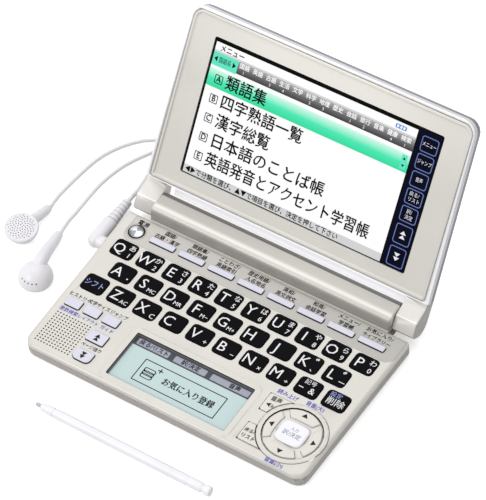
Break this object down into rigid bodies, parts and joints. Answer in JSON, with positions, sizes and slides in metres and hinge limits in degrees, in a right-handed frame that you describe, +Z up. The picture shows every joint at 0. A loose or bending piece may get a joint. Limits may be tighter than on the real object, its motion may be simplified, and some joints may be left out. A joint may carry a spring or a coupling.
{
  "type": "electronic dictionary",
  "caption": "Open clamshell pocket dictionary with a letter keyboard, cursor pad, handwriting panel, lid display, stylus and wired earphones with a coiled lead.",
  "frame": {"origin": "middle of the underside: centre of the bounding box of the open dictionary with its stylus, without the earphones, on the table surface", "axes": "+X to the user's right along the hinge, +Y from the front edge to the hinge, +Z up"},
  "size_m": [0.1955, 0.2067, 0.0913],
  "materials": {
    "champagne_deck": "satin",
    "grey_case": "satin",
    "cell_wrap": "satin",
    "key_board": "matt",
    "panel_glass": "glossy",
    "speaker_metal": "satin",
    "black_plastic": "matt",
    "hinge_steel": "brushed",
    "lavender_cover": "glossy",
    "champagne_bezel": "satin",
    "display_face": "glossy",
    "stylus_plastic": "satin",
    "earphone_white": "satin",
    "lead_white": "matt",
    "chrome_button": "polished",
    "lavender_key": "satin",
    "champagne_pad": "satin",
    "white_key": "glossy",
    "black_key": "glossy"
  },
  "bodies": {
    "base": {"top_case": "champagne_deck", "bottom_case": "grey_case", "battery_left": "cell_wrap", "battery_right": "cell_wrap", "key_board": "key_board", "sub_display": "panel_glass", "speaker": "speaker_metal", "earphone_jack": "black_plastic", "hinge_pin_left": "hinge_steel", "hinge_pin_right": "hinge_steel", "stylus": "stylus_plastic", "earphone_plug": "earphone_white", "main_lead": "lead_white", "lead_coil": "lead_white", "cord_splitter": "earphone_white", "left_lead": "lead_white", "right_lead": "lead_white", "left_earbud": "earphone_white", "right_earbud": "earphone_white"},
    "lid": {"lid_cover": "lavender_cover", "lid_bezel": "champagne_bezel", "main_display": "display_face"},
    "battery_door": {"battery_door": "grey_case"},
    "key_q_body": {"key_q": "black_key"},
    "key_w_body": {"key_w": "black_key"},
    "key_e_body": {"key_e": "black_key"},
    "key_r_body": {"key_r": "black_key"},
    "key_t_body": {"key_t": "black_key"},
    "key_y_body": {"key_y": "black_key"},
    "key_u_body": {"key_u": "black_key"},
    "key_i_body": {"key_i": "black_key"},
    "key_o_body": {"key_o": "black_key"},
    "key_p_body": {"key_p": "black_key"},
    "key_a_body": {"key_a": "black_key"},
    "key_s_body": {"key_s": "black_key"},
    "key_d_body": {"key_d": "black_key"},
    "key_f_body": {"key_f": "black_key"},
    "key_g_body": {"key_g": "black_key"},
    "key_h_body": {"key_h": "black_key"},
    "key_j_body": {"key_j": "black_key"},
    "key_k_body": {"key_k": "black_key"},
    "key_l_body": {"key_l": "black_key"},
    "key_shift_body": {"key_shift": "black_key"},
    "key_z_body": {"key_z": "black_key"},
    "key_x_body": {"key_x": "black_key"},
    "key_c_body": {"key_c": "black_key"},
    "key_v_body": {"key_v": "black_key"},
    "key_b_body": {"key_b": "black_key"},
    "key_n_body": {"key_n": "black_key"},
    "key_m_body": {"key_m": "black_key"},
    "key_minus_body": {"key_minus": "black_key"},
    "key_delete_body": {"key_delete": "black_key"},
    "power_button_body": {"power_button": "chrome_button"},
    "function_keys_body": {"function_keys": "lavender_key"},
    "menu_keys_body": {"menu_keys": "lavender_key"},
    "page_keys_body": {"page_keys": "lavender_key"},
    "cursor_pad_body": {"cursor_pad": "champagne_pad"},
    "enter_key_body": {"enter_key": "white_key"},
    "voice_key_body": {"voice_key": "champagne_pad"},
    "back_key_body": {"back_key": "champagne_pad"}
  },
  "joints": [
    {"name": "lid_hinge", "type": "hinge", "parent": "base", "child": "lid", "pos_m": [0, 0.03179, 0.0098], "axis": [1, 0, 0], "range_deg": [-27.5, 122.5]},
    {"name": "battery_door_slide", "type": "slide", "parent": "base", "child": "battery_door", "axis": [0, 1, 0], "range_m": [0, 0.004]},
    {"name": "key_q_press", "type": "slide", "parent": "base", "child": "key_q_body", "axis": [0, 0, -1], "range_m": [0, 0.0006], "stiffness_N_per_m": 900},
    {"name": "key_w_press", "type": "slide", "parent": "base", "child": "key_w_body", "axis": [0, 0, -1], "range_m": [0, 0.0006], "stiffness_N_per_m": 900},
    {"name": "key_e_press", "type": "slide", "parent": "base", "child": "key_e_body", "axis": [0, 0, -1], "range_m": [0, 0.0006], "stiffness_N_per_m": 900},
    {"name": "key_r_press", "type": "slide", "parent": "base", "child": "key_r_body", "axis": [0, 0, -1], "range_m": [0, 0.0006], "stiffness_N_per_m": 900},
    {"name": "key_t_press", "type": "slide", "parent": "base", "child": "key_t_body", "axis": [0, 0, -1], "range_m": [0, 0.0006], "stiffness_N_per_m": 900},
    {"name": "key_y_press", "type": "slide", "parent": "base", "child": "key_y_body", "axis": [0, 0, -1], "range_m": [0, 0.0006], "stiffness_N_per_m": 900},
    {"name": "key_u_press", "type": "slide", "parent": "base", "child": "key_u_body", "axis": [0, 0, -1], "range_m": [0, 0.0006], "stiffness_N_per_m": 900},
    {"name": "key_i_press", "type": "slide", "parent": "base", "child": "key_i_body", "axis": [0, 0, -1], "range_m": [0, 0.0006], "stiffness_N_per_m": 900},
    {"name": "key_o_press", "type": "slide", "parent": "base", "child": "key_o_body", "axis": [0, 0, -1], "range_m": [0, 0.0006], "stiffness_N_per_m": 900},
    {"name": "key_p_press", "type": "slide", "parent": "base", "child": "key_p_body", "axis": [0, 0, -1], "range_m": [0, 0.0006], "stiffness_N_per_m": 900},
    {"name": "key_a_press", "type": "slide", "parent": "base", "child": "key_a_body", "axis": [0, 0, -1], "range_m": [0, 0.0006], "stiffness_N_per_m": 900},
    {"name": "key_s_press", "type": "slide", "parent": "base", "child": "key_s_body", "axis": [0, 0, -1], "range_m": [0, 0.0006], "stiffness_N_per_m": 900},
    {"name": "key_d_press", "type": "slide", "parent": "base", "child": "key_d_body", "axis": [0, 0, -1], "range_m": [0, 0.0006], "stiffness_N_per_m": 900},
    {"name": "key_f_press", "type": "slide", "parent": "base", "child": "key_f_body", "axis": [0, 0, -1], "range_m": [0, 0.0006], "stiffness_N_per_m": 900},
    {"name": "key_g_press", "type": "slide", "parent": "base", "child": "key_g_body", "axis": [0, 0, -1], "range_m": [0, 0.0006], "stiffness_N_per_m": 900},
    {"name": "key_h_press", "type": "slide", "parent": "base", "child": "key_h_body", "axis": [0, 0, -1], "range_m": [0, 0.0006], "stiffness_N_per_m": 900},
    {"name": "key_j_press", "type": "slide", "parent": "base", "child": "key_j_body", "axis": [0, 0, -1], "range_m": [0, 0.0006], "stiffness_N_per_m": 900},
    {"name": "key_k_press", "type": "slide", "parent": "base", "child": "key_k_body", "axis": [0, 0, -1], "range_m": [0, 0.0006], "stiffness_N_per_m": 900},
    {"name": "key_l_press", "type": "slide", "parent": "base", "child": "key_l_body", "axis": [0, 0, -1], "range_m": [0, 0.0006], "stiffness_N_per_m": 900},
    {"name": "key_shift_press", "type": "slide", "parent": "base", "child": "key_shift_body", "axis": [0, 0, -1], "range_m": [0, 0.0006], "stiffness_N_per_m": 900},
    {"name": "key_z_press", "type": "slide", "parent": "base", "child": "key_z_body", "axis": [0, 0, -1], "range_m": [0, 0.0006], "stiffness_N_per_m": 900},
    {"name": "key_x_press", "type": "slide", "parent": "base", "child": "key_x_body", "axis": [0, 0, -1], "range_m": [0, 0.0006], "stiffness_N_per_m": 900},
    {"name": "key_c_press", "type": "slide", "parent": "base", "child": "key_c_body", "axis": [0, 0, -1], "range_m": [0, 0.0006], "stiffness_N_per_m": 900},
    {"name": "key_v_press", "type": "slide", "parent": "base", "child": "key_v_body", "axis": [0, 0, -1], "range_m": [0, 0.0006], "stiffness_N_per_m": 900},
    {"name": "key_b_press", "type": "slide", "parent": "base", "child": "key_b_body", "axis": [0, 0, -1], "range_m": [0, 0.0006], "stiffness_N_per_m": 900},
    {"name": "key_n_press", "type": "slide", "parent": "base", "child": "key_n_body", "axis": [0, 0, -1], "range_m": [0, 0.0006], "stiffness_N_per_m": 900},
    {"name": "key_m_press", "type": "slide", "parent": "base", "child": "key_m_body", "axis": [0, 0, -1], "range_m": [0, 0.0006], "stiffness_N_per_m": 900},
    {"name": "key_minus_press", "type": "slide", "parent": "base", "child": "key_minus_body", "axis": [0, 0, -1], "range_m": [0, 0.0006], "stiffness_N_per_m": 900},
    {"name": "key_delete_press", "type": "slide", "parent": "base", "child": "key_delete_body", "axis": [0, 0, -1], "range_m": [0, 0.0006], "stiffness_N_per_m": 900},
    {"name": "power_button_press", "type": "slide", "parent": "base", "child": "power_button_body", "axis": [0, 0, -1], "range_m": [0, 0.0006], "stiffness_N_per_m": 900},
    {"name": "function_keys_press", "type": "slide", "parent": "base", "child": "function_keys_body", "axis": [0, 0, -1], "range_m": [0, 0.0006], "stiffness_N_per_m": 900},
    {"name": "menu_keys_press", "type": "slide", "parent": "base", "child": "menu_keys_body", "axis": [0, 0, -1], "range_m": [0, 0.0006], "stiffness_N_per_m": 900},
    {"name": "page_keys_press", "type": "slide", "parent": "base", "child": "page_keys_body", "axis": [0, 0, -1], "range_m": [0, 0.0006], "stiffness_N_per_m": 900},
    {"name": "cursor_pad_press", "type": "slide", "parent": "base", "child": "cursor_pad_body", "axis": [0, 0, -1], "range_m": [0, 0.0006], "stiffness_N_per_m": 900},
    {"name": "enter_key_press", "type": "slide", "parent": "base", "child": "enter_key_body", "axis": [0, 0, -1], "range_m": [0, 0.0006], "stiffness_N_per_m": 900},
    {"name": "voice_key_press", "type": "slide", "parent": "base", "child": "voice_key_body", "axis": [0, 0, -1], "range_m": [0, 0.0006], "stiffness_N_per_m": 900},
    {"name": "back_key_press", "type": "slide", "parent": "base", "child": "back_key_body", "axis": [0, 0, -1], "range_m": [0, 0.0006], "stiffness_N_per_m": 900}
  ]
}
